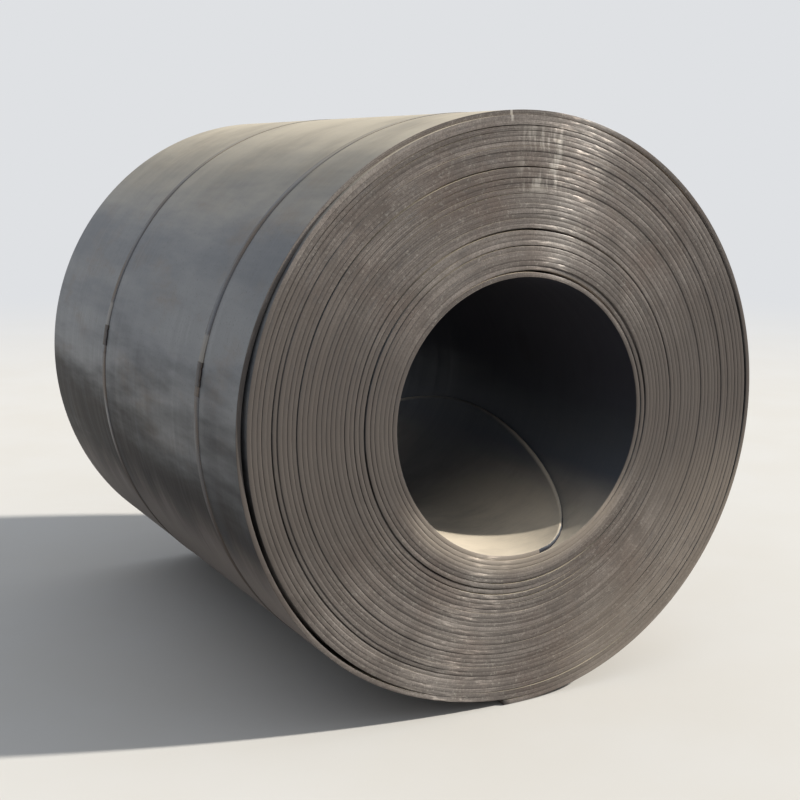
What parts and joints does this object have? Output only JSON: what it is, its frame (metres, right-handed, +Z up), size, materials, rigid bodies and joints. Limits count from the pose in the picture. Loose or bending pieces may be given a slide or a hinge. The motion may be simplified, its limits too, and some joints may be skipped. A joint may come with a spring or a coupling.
{
  "type": "steel coil",
  "caption": "Hot-rolled steel strip wound into a wide coil with an open bore, lying on its side and held by two steel straps with crimped seals",
  "frame": {"origin": "On the floor, straight under the middle of the coil, where the straps touch down", "axes": "+Z up; Y along the coil's axis, with the near end at -Y; X across, with the seals on the -X side"},
  "size_m": [1.6279, 1.8, 1.6278],
  "materials": {
    "mill_scale_strip": "hot-rolled mill scale, blue grey on the face of the strip and brown grey on its edges",
    "strapping": "dull waxed steel strap with brown stain",
    "strap_seal": "dark crimped steel"
  },
  "bodies": {
    "root": {"coil": "mill_scale_strip", "near_strap": "strapping", "far_strap": "strapping", "near_seal": "strap_seal", "far_seal": "strap_seal"}
  },
  "joints": []
}
